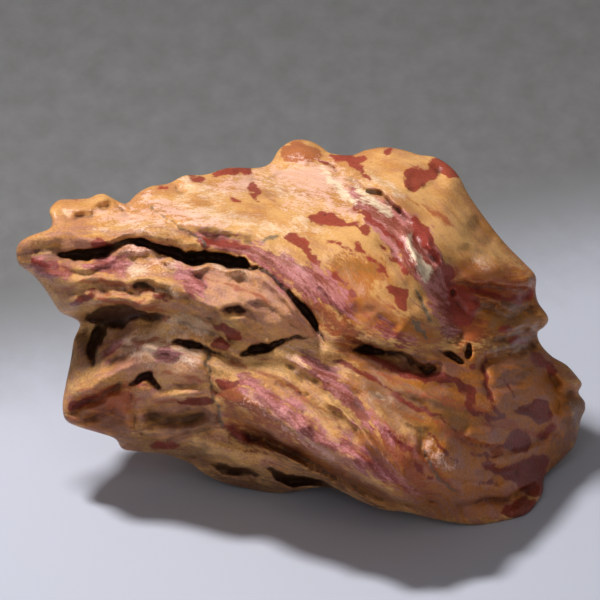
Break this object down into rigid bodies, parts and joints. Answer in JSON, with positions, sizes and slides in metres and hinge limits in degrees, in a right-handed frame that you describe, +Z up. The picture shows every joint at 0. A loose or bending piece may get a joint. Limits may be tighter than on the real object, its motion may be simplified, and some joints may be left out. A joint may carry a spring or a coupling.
{
  "type": "wind-polished agate specimen",
  "caption": "Chunky wind-polished agate stone with an overhanging brow, long gashes, oblique folds and pits, lying on a flat foot.",
  "frame": {"origin": "middle of the stone's box, at the level of the flat foot that it rests on", "axes": "+X along the stone's length towards its low blunt end, +Y away from the sculpted face, +Z up"},
  "size_m": [0.0571, 0.0461, 0.0299],
  "materials": {
    "agate": "polished ochre stone mottled with brick red, plum and grey"
  },
  "bodies": {
    "root": {"agate": "agate"}
  },
  "joints": []
}
